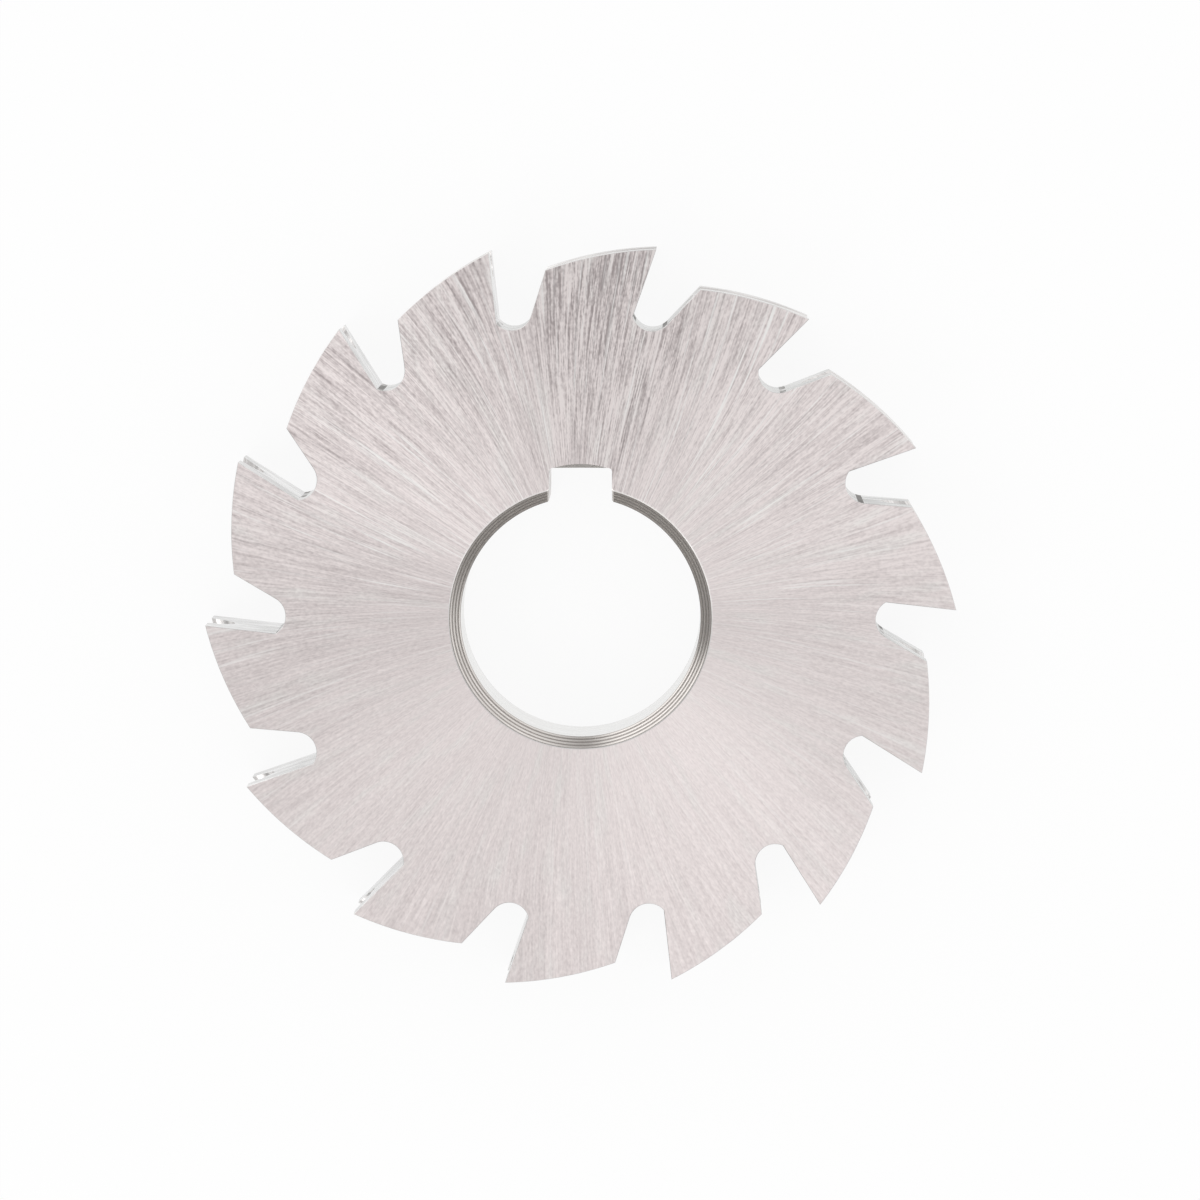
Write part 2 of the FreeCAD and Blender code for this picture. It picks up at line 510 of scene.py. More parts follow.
class Nodes:
    """A small writer of node trees: it adds nodes, sets their sockets and links them."""

    def __init__(self, tree: NodeTree) -> None:
        """Keeps the node tree of the material, world or group that it writes to."""
        self.tree = tree

    def add(self, kind: str, *inputs: object, **settings: object) -> bpy.types.Node:
        """Adds one node.

        Args:
            kind: The node's type name.
            inputs: For each input in turn, a socket to link, a value to set, or None to leave it.
            settings: Properties of the node.

        Returns:
            The new node.
        """
        node = self.tree.nodes.new(kind)
        for name, value in settings.items():
            setattr(node, name, value)
        for socket, value in zip(node.inputs, inputs):
            self.give(socket, value)
        return node

    def give(self, socket: Socket, value: object) -> None:
        """Feeds an input.

        Args:
            socket: The input.
            value: A socket to link, a value to set, or None to leave it.
        """
        if isinstance(value, Socket):
            self.tree.links.new(value, socket)
        elif value is not None:
            socket.default_value = value

    def math(self, operation: str, *inputs: object, clamp: bool = False) -> Socket:
        """One arithmetic step; returns its result."""
        return self.add("ShaderNodeMath", *inputs, operation=operation, use_clamp=clamp).outputs[0]

    def vector(self, operation: str, *inputs: object) -> Socket:
        """One vector step; returns its vector, or its number where it gives one."""
        node = self.add("ShaderNodeVectorMath", *inputs, operation=operation)
        return node.outputs["Value" if operation in {"LENGTH", "DOT_PRODUCT"} else "Vector"]

    def scaled(self, vector: object, scale: object) -> Socket:
        """Multiplies a vector.

        Args:
            vector: A socket or a value.
            scale: The number, as a socket or a value.

        Returns:
            The vector times the number.
        """
        node = self.add("ShaderNodeVectorMath", vector, operation="SCALE")
        self.give(node.inputs["Scale"], scale)
        return node.outputs["Vector"]

    def ramp(self, value: object, step: Step) -> Socket:
        """A smooth step of a value."""
        limits = (step.low, step.high, step.start, step.end)
        return self.add("ShaderNodeMapRange", value, *limits, interpolation_type="SMOOTHSTEP").outputs[0]

    def noise(self, vector: object, detail: object = 3.0, roughness: float = 0.6) -> Socket:
        """Fractal noise of a vector.

        Args:
            vector: Where to read it; its largest features are about 1 across.
            detail: How many finer layers it has.
            roughness: How strong each is beside the one before.

        Returns:
            A number about 0.5.
        """
        node = self.add("ShaderNodeTexNoise")
        values = {"Vector": vector, "Scale": 1.0, "Detail": detail, "Roughness": roughness}
        for label, value in values.items():
            self.give(node.inputs[label], value)
        return node.outputs["Fac"]

    def mix(self, share: object, first: object, second: object) -> Socket:
        """Mixes two colours.

        Args:
            share: How much of the second.
            first: A socket or a colour with alpha.
            second: The same.

        Returns:
            The mixed colour.
        """
        node = self.add("ShaderNodeMix", share, data_type="RGBA")
        colours = [socket for socket in node.inputs if socket.type == "RGBA"]
        self.give(colours[0], first)
        self.give(colours[1], second)
        return [socket for socket in node.outputs if socket.type == "RGBA"][0]

    def combine(self, x: object, y: object, z: object) -> Socket:
        """A vector of three numbers."""
        return self.add("ShaderNodeCombineXYZ", x, y, z).outputs[0]

    def separate(self, vector: object) -> list[Socket]:
        """The three numbers of a vector."""
        return list(self.add("ShaderNodeSeparateXYZ", vector).outputs)

    def weighed(self, value: object, weight: float, total: object) -> Socket:
        """Adds a noise's swing about 0.5, times a weight, to a total."""
        return self.math("MULTIPLY_ADD", self.math("SUBTRACT", value, 0.5), weight, total)


Opened = tuple[Nodes, dict[str, Socket], bpy.types.Node]


def open_group(name: str, inputs: tuple[str, ...], outputs: tuple[str, ...]) -> Opened:
    """Starts a node group.

    Args:
        name: The group's name.
        inputs: The names of its inputs: Vector is a vector, and the others are numbers.
        outputs: The names of what it gives: Way is a vector, and the others are numbers.

    Returns:
        A writer for the group, its inputs by name, and its output node.
    """
    tree = bpy.data.node_groups.new(name, "ShaderNodeTree")
    for side, labels in (("INPUT", inputs), ("OUTPUT", outputs)):
        for label in labels:
            kind = "NodeSocketVector" if label in {"Vector", "Way"} else "NodeSocketFloat"
            tree.interface.new_socket(label, in_out=side, socket_type=kind)
    nodes = Nodes(tree)
    given = nodes.add("NodeGroupInput").outputs
    return nodes, {label: given[label] for label in inputs}, nodes.add("NodeGroupOutput")


@dataclass
class SteelPatterns:
    """The marks that the machines leave, each as a node group that is built once.

    Inside the groups lengths are millimetres.
    """

    lean_radius: float = 16.0
    lean_wander: float = 1.7
    radial_roughness: float = 0.62
    nick_drift: float = 0.45
    nick_fineness: float = 9.0
    nick_bend: float = 0.6
    nick_bend_pace: float = 0.35
    nick_roughness: float = 0.4
    nick_sharpness: float = 30.0

    def __post_init__(self) -> None:
        """Builds the groups."""
        self.place = self._place()
        self.nicks = self._nicks()
        self.lines = {Lines.RADIAL: self._radial()}
        for kind, drift in DRIFTS.items():
            self.lines[kind] = self._drawn_out(kind, drift)

    def _place(self) -> NodeTree:
        """The place of a point round the axis: its plan direction, its radius and its height.

        Returns:
            The group.
        """
        nodes, given, out = open_group("round_place", ("Vector",), ("Way", "Radius", "Height"))
        x, y, z = nodes.separate(nodes.scaled(given["Vector"], 1 / MM))
        plan = nodes.combine(x, y, 0.0)
        nodes.give(out.inputs["Way"], nodes.vector("NORMALIZE", plan))
        nodes.give(out.inputs["Radius"], nodes.vector("LENGTH", plan))
        nodes.give(out.inputs["Height"], z)
        return nodes.tree

    def placed(self, nodes: Nodes, vector: object) -> tuple[Socket, ...]:
        """Uses the group above.

        Args:
            nodes: The writer.
            vector: Object coordinates.

        Returns:
            Plan direction, radius and height.
        """
        node = nodes.add("ShaderNodeGroup", node_tree=self.place)
        nodes.give(node.inputs["Vector"], vector)
        return tuple(node.outputs)

    def _radial(self) -> NodeTree:
        """Grinding lines that run out from the bore.

        Noise on a cylinder: the plan direction, turned a little with the radius, times the fineness,
        and the radius times the lines' shortness as the third coordinate. The turn wanders slowly
        round the face, so neighbouring lines lean alike.

        Returns:
            The group.
        """
        inputs = ("Vector", "Fineness", "Shortness", "Slant", "Seed", "Detail")
        nodes, given, out = open_group(Lines.RADIAL.value, inputs, ("Line",))
        way, radius, _ = self.placed(nodes, given["Vector"])
        lean = nodes.math("MULTIPLY", nodes.math("SUBTRACT", radius, self.lean_radius), given["Slant"])
        wander = nodes.noise(nodes.scaled(way, self.lean_wander), detail=0.0)
        lean = nodes.math("MULTIPLY", lean, nodes.math("SUBTRACT", wander, 0.5))
        turn = nodes.add("ShaderNodeVectorRotate", rotation_type="Z_AXIS")
        nodes.give(turn.inputs["Vector"], way)
        nodes.give(turn.inputs["Angle"], lean)
        across = nodes.scaled(turn.outputs[0], given["Fineness"])
        depth = nodes.math("MULTIPLY_ADD", radius, given["Shortness"], given["Seed"])
        spot = nodes.vector("ADD", across, nodes.combine(0.0, 0.0, depth))
        nodes.give(out.inputs["Line"], nodes.noise(spot, given["Detail"], self.radial_roughness))
        return nodes.tree

    def _drawn_out(self, kind: Lines, drift: float) -> NodeTree:
        """Lines that all run one way: noise that changes fast across them and slowly along them.

        It is the noise of the fineness times the place across, plus the drift times the place along.
        Turning lines have the radius and height across and the way round the axis along. Relieving
        lines run the same way and have the distance down the rim's section across, which the mesh
        carries as the attribute "across". Broaching lines have the plan across and the height along,
        and the feed lines of the gullets' backs and the tooth faces have them the other way round.

        Args:
            kind: Which lines.
            drift: How fast they change along themselves.

        Returns:
            The group.
        """
        nodes, given, out = open_group(kind.value, ("Vector", "Fineness", "Seed"), ("Line",))
        way, radius, height = self.placed(nodes, given["Vector"])
        if kind is Lines.HOOP:
            across, along = nodes.combine(radius, height, 0.0), way
        elif kind is Lines.RELIEVED:
            down = nodes.add("ShaderNodeAttribute", attribute_name="across").outputs["Fac"]
            across, along = nodes.combine(0.0, 0.0, down), way
        else:
            plan, upright = nodes.scaled(way, radius), nodes.combine(0.0, 0.0, height)
            across, along = (plan, upright) if kind is Lines.AXIAL else (upright, plan)
        spot = nodes.vector("ADD", nodes.scaled(across, given["Fineness"]), nodes.scaled(along, drift))
        spot = nodes.vector("ADD", spot, nodes.combine(0.0, 0.0, given["Seed"]))
        nodes.give(out.inputs["Line"], nodes.noise(spot))
        return nodes.tree

    def _nicks(self) -> NodeTree:
        """Stray hairline scratches: noise drawn out along a turned and waved axis, kept where it peaks.

        Returns:
            The group.
        """
        nodes, given, out = open_group("stray_nicks", ("Vector", "Turn", "Rarity", "Seed"), ("Mark",))
        turn = nodes.add("ShaderNodeVectorRotate", rotation_type="Z_AXIS")
        nodes.give(turn.inputs["Vector"], nodes.scaled(given["Vector"], 1 / MM))
        nodes.give(turn.inputs["Angle"], given["Turn"])
        x, y, z = nodes.separate(turn.outputs[0])
        wave = nodes.math("SINE", nodes.math("MULTIPLY", x, self.nick_bend_pace))
        bent = nodes.math("ADD", y, nodes.math("MULTIPLY", wave, self.nick_bend))
        spot = nodes.combine(
            nodes.math("MULTIPLY", x, self.nick_drift),
            nodes.math("MULTIPLY", bent, self.nick_fineness),
            nodes.math("ADD", z, given["Seed"]),
        )
        peak = nodes.noise(spot, 1.0, self.nick_roughness)
        mark = nodes.math("SUBTRACT", peak, given["Rarity"])
        nodes.give(out.inputs["Mark"], nodes.math("MULTIPLY", mark, self.nick_sharpness, clamp=True))
        return nodes.tree


@dataclass(frozen=True)
class Steel:
    """One finish of the steel.

    It has a dark and a light tone, and a tint that the light one drifts to. Its lines run one of the
    ways, as many to the millimetre as the fineness says, and the relief is how deep they look.
    """

    dark: Triple
    light: Triple
    tint: Triple
    roughness: float
    lines: Lines
    fineness: float = 1.0
    relief: float = 0.0
    seed: float = 0.0
    contrast: Step = Step(0.3, 0.7)
    anisotropy: float = 0.0


STEELS = {
    Finish.SIDE: Steel(
        dark=(0.43, 0.38, 0.38), light=(0.865, 0.795, 0.785), tint=(0.86, 0.83, 0.81),
        roughness=0.38, lines=Lines.RADIAL, relief=0.1, anisotropy=0.85,
    ),
    Finish.LAND: Steel(
        dark=(0.58, 0.56, 0.55), light=(0.82, 0.80, 0.79), tint=(0.80, 0.80, 0.79),
        roughness=0.24, lines=Lines.RELIEVED, fineness=6.0, relief=0.12, seed=40.3,
    ),
    Finish.FACE: Steel(
        dark=(0.66, 0.655, 0.65), light=(0.84, 0.835, 0.83), tint=(0.82, 0.825, 0.82),
        roughness=0.24, lines=Lines.FEED, fineness=0.7, seed=52.7,
    ),
    Finish.GASH: Steel(
        dark=(0.60, 0.60, 0.59), light=(0.80, 0.80, 0.79), tint=(0.77, 0.785, 0.77),
        roughness=0.30, lines=Lines.FEED, fineness=0.9, relief=0.02, seed=34.1,
    ),
    Finish.CORNER: Steel(
        dark=(0.20, 0.19, 0.18), light=(0.80, 0.79, 0.78), tint=(0.80, 0.80, 0.79),
        roughness=0.40, lines=Lines.AXIAL, fineness=0.5, relief=0.02, seed=34.1, contrast=Step(0.42, 0.6),
    ),
    Finish.EDGE: Steel(
        dark=(0.62, 0.60, 0.59), light=(0.72, 0.70, 0.69), tint=(0.70, 0.70, 0.69),
        roughness=0.30, lines=Lines.HOOP, fineness=3.0, seed=31.0,
    ),
    Finish.CHAMFER: Steel(
        dark=(0.34, 0.315, 0.295), light=(0.74, 0.70, 0.675), tint=(0.72, 0.695, 0.665),
        roughness=0.22, lines=Lines.HOOP, fineness=14.0, relief=0.04, seed=58.9,
    ),
    Finish.BORE: Steel(
        dark=(0.76, 0.755, 0.74), light=(0.86, 0.855, 0.84), tint=(0.84, 0.85, 0.83),
        roughness=0.20, lines=Lines.HOOP, fineness=6.0, relief=0.02, seed=34.1,
    ),
    Finish.KEYWAY: Steel(
        dark=(0.64, 0.61, 0.59), light=(0.82, 0.79, 0.77), tint=(0.80, 0.79, 0.77),
        roughness=0.30, lines=Lines.AXIAL, fineness=5.0, relief=0.03, seed=46.5,
    ),
}


@dataclass(frozen=True)
class Layer:
    """One layer of radial lines and how much it counts in the tone."""

    fineness: float
    shortness: float
    seed: float
    detail: float
    slant: float = 0.03
    weight: float = 1.0


@dataclass(frozen=True)
class SideGrinding:
    """How the grinding shows on the side faces.

    Radii are millimetres. A way is a plan direction, and the steps named with it go by how nearly a
    point lies that way from the axis: 1 straight along it, -1 opposite.
    """

    bands: Layer = Layer(7.0, 0.06, 1.0, 2.0, weight=0.32)
    streaks: Layer = Layer(60.0, 0.13, 7.0, 2.0)
    fine: Layer = Layer(190.0, 0.33, 19.0, 1.0, weight=1.1)
    cross: Layer = Layer(130.0, 0.3, 43.0, 1.0, slant=-0.08, weight=0.35)
    grain: Layer = Layer(130.0, 3.2, 31.0, 1.0, weight=0.42)
    even_grain: float = 0.45
    # Painted shade: the sector towards the keyway, around this way, is darkened and its lines drawn
    # stronger, for the dark surroundings reflected there.
    shaded_sector_way: Triple = (0.105, 0.9945, 0.0)
    shaded_sector_wander: float = 0.08
    shaded_sector: Step = Step(0.956, 1.0)
    sector_shade: float = -0.1
    # Painted reflection contrast: the lines are drawn with more contrast towards this way, where the ground
    # face reflects both dark and bright surroundings.
    reflection_contrast_way: Triple = (-0.087, 0.996, 0.0)
    strength: Step = Step(-0.6, 1.5, 0.34, 1.38)
    strength_outwards: Step = Step(8.0, 22.0, 0.7, 1.2)
    # Painted light and shade by side: the tone is darker towards this way and lighter opposite it, for the
    # brighter and dimmer sectors of reflected light.
    shade_side_way: Triple = (-0.866, 0.5, 0.0)
    tone: Step = Step(0.2, 0.95, 0.79, 0.7)
    far_side_light: Step = Step(-1.0, -0.88, 0.08, 0.0)
    fall_outwards: Step = Step(10.0, 24.0, 0.0, -0.13)
    nick_turn: float = 0.9
    nick_rarity: float = 0.76
    nick_seed: float = 3.0
    nick_weight: float = 0.2
    # Painted glints: thin near-white lines, scratches drawn as the highlights they catch, more of them
    # towards the keyway.
    glint_lines: Layer = Layer(90.0, 0.1, 71.0, 3.0, slant=0.035)
    glint_peaks: Step = Step(0.55, 0.74, 0.0, 0.8)
    glints_to_key: Step = Step(-0.9, 0.7, 0.25, 1.0)
    glint_colour: Triple = (0.95, 0.945, 0.93)


@dataclass
class SteelShop:
    """Makes the materials of the cutter's finishes."""

    patterns: SteelPatterns = field(default_factory=SteelPatterns)
    bore: BoreForm = BoreForm()
    grinding: SideGrinding = SideGrinding()
    tint_layer: Layer = Layer(16.0, 0.2, 57.0, 3.0, slant=0.0)
    tinted: Step = Step(0.46, 0.8)
    rougher_dark: float = 1.25
    smoother_light: float = 0.8
    line_depth: float = 0.02 * MM
    ridge_contrast: float = 0.4
    # Painted shade at the crests between the chamfer's scallops.
    crest_shade: Step = Step(0.15, 0.9, 0.1, 1.0)

    def material(self, finish: Finish) -> bpy.types.Material:
        """One finish as a material: lines that colour, roughen and dent the steel.

        Args:
            finish: Which finish.

        Returns:
            The material.
        """
        steel = STEELS[finish]
        made = bpy.data.materials.new(finish.value)
        made.use_nodes = True
        made.node_tree.nodes.clear()
        nodes = Nodes(made.node_tree)
        place = nodes.add("ShaderNodeTexCoord").outputs["Object"]
        on_side = finish is Finish.SIDE
        tone = self._side_tone(nodes, place) if on_side else self._plain_tone(nodes, place, finish)
        tinted = nodes.ramp(self._layer(nodes, place, self.tint_layer), self.tinted)
        light = nodes.mix(tinted, (*steel.light, 1.0), (*steel.tint, 1.0))
        colour = nodes.mix(tone, (*steel.dark, 1.0), light)
        # The side faces get painted glints: near-white lines over their colour.
        if on_side:
            colour = self._glinted(nodes, place, colour)
        shader = nodes.add("ShaderNodeBsdfPrincipled")
        nodes.give(shader.inputs["Base Color"], colour)
        nodes.give(shader.inputs["Metallic"], 1.0)
        roughest, smoothest = steel.roughness * self.rougher_dark, steel.roughness * self.smoother_light
        rough = nodes.add("ShaderNodeMapRange", tone, 0.0, 1.0, roughest, smoothest)
        nodes.give(shader.inputs["Roughness"], rough.outputs[0])
        bump = nodes.add("ShaderNodeBump")
        nodes.give(bump.inputs["Strength"], steel.relief)
        nodes.give(bump.inputs["Distance"], self.line_depth)
        nodes.give(bump.inputs["Height"], tone)
        nodes.give(shader.inputs["Normal"], bump.outputs[0])
        if steel.anisotropy:
            nodes.give(shader.inputs["Anisotropic"], steel.anisotropy)
            x, y, _ = nodes.separate(place)
            hoop = nodes.combine(nodes.math("MULTIPLY", y, -1.0), x, 0.0)
            nodes.give(shader.inputs["Tangent"], nodes.vector("NORMALIZE", hoop))
        out = nodes.add("ShaderNodeOutputMaterial")
        nodes.give(out.inputs["Surface"], shader.outputs[0])
        return made

    def _use(self, nodes: Nodes, tree: NodeTree, place: object, **values: float) -> Socket:
        """Places a pattern group.

        Args:
            nodes: The material's writer.
            tree: The group.
            place: Object coordinates.
            values: The group's other inputs.

        Returns:
            Its first output.
        """
        node = nodes.add("ShaderNodeGroup", node_tree=tree)
        nodes.give(node.inputs["Vector"], place)
        for label, value in values.items():
            nodes.give(node.inputs[label], value)
        return node.outputs[0]

    def _layer(self, nodes: Nodes, place: object, layer: Layer) -> Socket:
        """One layer of radial lines.

        Args:
            nodes: The material's writer.
            place: Object coordinates.
            layer: Its values.

        Returns:
            A number about 0.5.
        """
        values = {"Fineness": layer.fineness, "Shortness": layer.shortness, "Slant": layer.slant}
        values |= {"Seed": layer.seed, "Detail": layer.detail}
        return self._use(nodes, self.patterns.lines[Lines.RADIAL], place, **values)

    def _plain_tone(self, nodes: Nodes, place: object, finish: Finish) -> Socket:
        """The tone of a finish whose lines all run one way.

        Args:
            nodes: The material's writer.
            place: Object coordinates.
            finish: Which finish.

        Returns:
            A number from 0, dark, to 1, light.
        """
        steel = STEELS[finish]
        tree = self.patterns.lines[steel.lines]
        line = self._use(nodes, tree, place, Fineness=steel.fineness, Seed=steel.seed)
        tone = nodes.ramp(line, steel.contrast)
        # The chamfer gets painted shade at its scallops' crests.
        return self._crest_shaded(nodes, place, tone) if finish is Finish.CHAMFER else tone

    def _crest_shaded(self, nodes: Nodes, place: object, tone: object) -> Socket:
        """Darkens a tone at the crests between the chamfer's scallops. This is painted shade, for the
        crests' slopes that reflect darker surroundings.

        They are where |sin| of the radius, with half a wave to a scallop, is near zero.

        Args:
            nodes: The material's writer.
            place: Object coordinates.
            tone: The tone of the turning lines.

        Returns:
            A number from 0, dark, to 1, light.
        """
        _, radius, _ = self.patterns.placed(nodes, place)
        step = self.bore.chamfer / self.bore.ridges / MM
        turn = nodes.math("MULTIPLY", nodes.math("SUBTRACT", radius, self.bore.radius / MM), math.pi / step)
        crest_shade = nodes.ramp(nodes.math("ABSOLUTE", nodes.math("SINE", turn)), self.crest_shade)
        softened = nodes.math("MULTIPLY_ADD", tone, self.ridge_contrast, 1 - self.ridge_contrast)
        return nodes.math("MULTIPLY", softened, crest_shade)

    def _glinted(self, nodes: Nodes, place: object, colour: object) -> Socket:
        """Draws thin near-white lines over the side face's colour, more of them towards the keyway. They
        are scratches painted as glints, a painted highlight.

        Args:
            nodes: The material's writer.
            place: Object coordinates.
            colour: The colour under them.

        Returns:
            The colour with the lines.
        """
        look = self.grinding
        _, ahead, _ = nodes.separate(self.patterns.placed(nodes, place)[0])
        peaks = nodes.ramp(self._layer(nodes, place, look.glint_lines), look.glint_peaks)
        share = nodes.math("MULTIPLY", peaks, nodes.ramp(ahead, look.glints_to_key))
        return nodes.mix(share, colour, (*look.glint_colour, 1.0))

    def _side_tone(self, nodes: Nodes, place: object) -> Socket:
        """The tone of the ground side faces: bands, streaks and fine lines, with short flecks and nicks.

        The tone also holds painted light and shade. In the sector towards the keyway the tone is darker and
        the lines stronger. Towards +Y the lines have more contrast. The tone is darker towards the upper
        left and lighter towards the lower right. All of these stand for how the surroundings reflect in the
        ground face.

        Args:
            nodes: The material's writer.
            place: Object coordinates.

        Returns:
            A number from 0, dark, to 1, light.
        """
        look = self.grinding
        way, radius, _ = self.patterns.placed(nodes, place)
        bands, grain = self._layer(nodes, place, look.bands), self._layer(nodes, place, look.grain)
        # Painted shade: a mask of the sector towards the keyway, which darkens the tone and strengthens the
        # lines.
        to_key = nodes.vector("DOT_PRODUCT", way, look.shaded_sector_way)
        shaded_sector = nodes.ramp(nodes.weighed(bands, look.shaded_sector_wander, to_key), look.shaded_sector)
        # Painted reflection contrast: the lines are stronger towards +Y.
        strength = nodes.ramp(nodes.vector("DOT_PRODUCT", way, look.reflection_contrast_way), look.strength)
        strength = nodes.math("ADD", strength, shaded_sector)
        strength = nodes.math("MULTIPLY", strength, nodes.ramp(radius, look.strength_outwards))

        total = nodes.weighed(bands, look.bands.weight, 0.0)
        for layer in (look.streaks, look.fine, look.cross):
            total = nodes.weighed(self._layer(nodes, place, layer), layer.weight, total)
        total = nodes.weighed(grain, look.grain.weight, total)
        total = nodes.weighed(grain, look.even_grain, nodes.math("MULTIPLY", total, strength))

        # Painted light and shade by side: darker towards the upper left, lighter towards the lower right.
        beside = nodes.vector("DOT_PRODUCT", way, look.shade_side_way)
        base_light_and_shade = nodes.math("ADD", nodes.ramp(beside, look.tone), nodes.ramp(beside, look.far_side_light))
        _, ahead, _ = nodes.separate(way)
        squared = nodes.math("MULTIPLY", ahead, ahead)
        base_light_and_shade = nodes.math("MULTIPLY_ADD", nodes.ramp(radius, look.fall_outwards), squared, base_light_and_shade)
        # The painted shade of the keyway sector and the painted light and shade by side go into the tone
        # here.
        total = nodes.math("ADD", total, nodes.math("MULTIPLY_ADD", shaded_sector, look.sector_shade, base_light_and_shade))
        values = {"Turn": look.nick_turn, "Rarity": look.nick_rarity, "Seed": look.nick_seed}
        nick = self._use(nodes, self.patterns.nicks, place, **values)
        return nodes.math("MULTIPLY_ADD", nick, look.nick_weight, total, clamp=True)


@dataclass
class ConcaveCutter:
    """The whole cutter as one closed surface: its section carried round the axis."""

    teeth: ToothForm = ToothForm()
    bore: BoreForm = BoreForm()
    name: str = "cutter_body"
    inner_ring: float = 12.0 * MM
    middle_ring: float = 15.5 * MM
    sharp_angle: float = math.radians(28)

    def side_rows(
        self, edge: np.ndarray, mouth_turn: np.ndarray, ring_turn: np.ndarray, level: float
    ) -> np.ndarray:
        """A side face's rows between the bore and the rim, from the bore outwards.

        Three circles (-r sin t, r cos t), whose columns shift from the bore's to the rim's, and the
        rim's edge.

        Args:
            edge: The edge in plan, (columns, 2).
            mouth_turn: The angle of each column at the bore.
            ring_turn: The angle of each column on the ring inside the gullets.
            level: The face's height.

        Returns:
            Points, (4, columns, 3).
        """
        radius = np.array([self.inner_ring, self.middle_ring, self.teeth.ring_radius])[:, None]
        turn = np.stack([mouth_turn, (mouth_turn + ring_turn) / 2, ring_turn])
        circles = np.stack([-radius * np.sin(turn), radius * np.cos(turn)], axis=-1)
        plan = np.concatenate([circles, edge[None]])
        return np.concatenate([plan, np.full((*plan.shape[:2], 1), level)], axis=2)

    def rows(self) -> tuple[np.ndarray, np.ndarray, np.ndarray]:
        """The closed grid of points, the finish of each face and the distance across the rim.

        Its rows run out over the upper side face, down the rim, in under the lower side face and up
        the bore. Its columns run counter-clockwise and close on themselves. The distance across is the
        sum of the steps from row to row, less the sum at the rim's first row.

        Returns:
            Points (rows, columns, 3), material slots (rows, columns) and distances (rows, columns).
        """
        teeth, bore = self.teeth, self.bore
        columns = teeth.columns
        inner = bore.wall(columns)
        ring_turn = teeth.ring_angles()
        mouth_turn = np.unwrap(np.arctan2(-inner[0, :, 0], inner[0, :, 1]))
        shift = int(np.searchsorted(mouth_turn, ring_turn[0]))
        inner = np.roll(inner, -shift, axis=1)
        inner_faces = np.roll(bore.finishes(columns), -shift, axis=1)
        mouth_turn = np.unwrap(np.roll(mouth_turn, -shift))

        height, depth = teeth.section()
        rim = teeth.outline(depth)
        rim = np.concatenate([rim, np.broadcast_to(height[:, None, None], (*rim.shape[:2], 1))], axis=2)
        edge = teeth.inset(rim[0, :, :2], teeth.edge_break)
        upper = self.side_rows(edge, mouth_turn, ring_turn, teeth.width)
        lower = self.side_rows(edge, mouth_turn, ring_turn, 0.0)
        grid = np.concatenate([inner[:1], upper, rim, lower[::-1], inner[:0:-1]])

        flat = np.full((len(upper), columns), Finish.SIDE.slot)
        broken = np.full((1, columns), Finish.EDGE.slot)
        wall = np.broadcast_to(teeth.finishes(), (len(rim) - 1, columns))
        faces = np.concatenate([flat, broken, wall, broken, flat, inner_faces[::-1]])
        step = np.linalg.norm(np.diff(grid, axis=0), axis=2)
        down = np.concatenate([np.zeros((1, columns)), np.cumsum(step, axis=0)])
        return grid, faces, down - down[1 + len(upper)]

    def build(self, shop: SteelShop) -> bpy.types.Object:
        """Makes the mesh, marks its sharp edges and gives each face its finish.

        Args:
            shop: Makes the materials.

        Returns:
            The finished piece.
        """
        grid, finishes, across = self.rows()
        rows, columns = grid.shape[:2]
        spot = np.arange(rows * columns).reshape(rows, columns)
        below, beside = np.roll(spot, -1, axis=0), np.roll(spot, -1, axis=1)
        opposite = np.roll(below, -1, axis=1)
        quads = np.stack([spot, below, opposite, beside], axis=-1).reshape(-1, 4)
        mesh = bpy.data.meshes.new(self.name)
        mesh.vertices.add(rows * columns)
        mesh.vertices.foreach_set("co", grid.astype(np.float32).ravel())
        mesh.loops.add(quads.size)
        mesh.loops.foreach_set("vertex_index", quads.astype(np.int32).ravel())
        mesh.polygons.add(len(quads))
        mesh.polygons.foreach_set("loop_start", np.arange(0, quads.size, 4, dtype=np.int32))
        mesh.polygons.foreach_set("material_index", finishes.astype(np.int32).ravel())
        mesh.update(calc_edges=True)
        carried = mesh.attributes.new("across", "FLOAT", "POINT")
        carried.data.foreach_set("value", (across / MM).astype(np.float32).ravel())
        mesh.set_sharp_from_angle(angle=self.sharp_angle)
        mesh.polygons.foreach_set("use_smooth", finishes.ravel() != Finish.SIDE.slot)
        for finish in Finish:
            mesh.materials.append(shop.material(finish))
        piece = bpy.data.objects.new(self.name, mesh)
        bpy.context.scene.collection.objects.link(piece)
        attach(piece, "root")
        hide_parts("concave_cutter")
        LOG.info("%s: %d faces", self.name, len(quads))
        return piece


@dataclass(frozen=True)
class Lamp:
    """One square soft lamp: where it hangs, its power in watts and its side."""

    name: str
    place: Triple
    power: float
    size: float = 0.4


@dataclass(frozen=True)
class LowBox:
    """One soft box near the horizon: its bearing, how wide it spreads and how bright it is."""

    turn: float
    spread: float
    strength: float


@dataclass(frozen=True)
class Surround:
    """The light that comes from all round, by the x, y and z of the direction to it.

    Overhead it is bright, with a dimmer gap across +Y and a dimmer front. At the horizon it is dim
    but for the low boxes.
    """

    overhead: float = 1.04
    gap_near: Step = Step(-0.13, 0.02)
    gap_far: Step = Step(0.22, 0.45, 1.0, 0.0)
    gap_height: Step = Step(0.3, 0.8)
    gap_dip: float = -0.38
    front: Step = Step(-0.26, -0.1, 0.86, 1.0)
    horizon: float = 0.42
    above_horizon: Step = Step(0.12, 0.6)
    low_boxes: tuple[LowBox, ...] = (
        LowBox(math.radians(33), math.radians(66), 0.76),
        LowBox(math.radians(134), math.radians(42), 1.2),
    )
    low_box_rise: float = 0.06


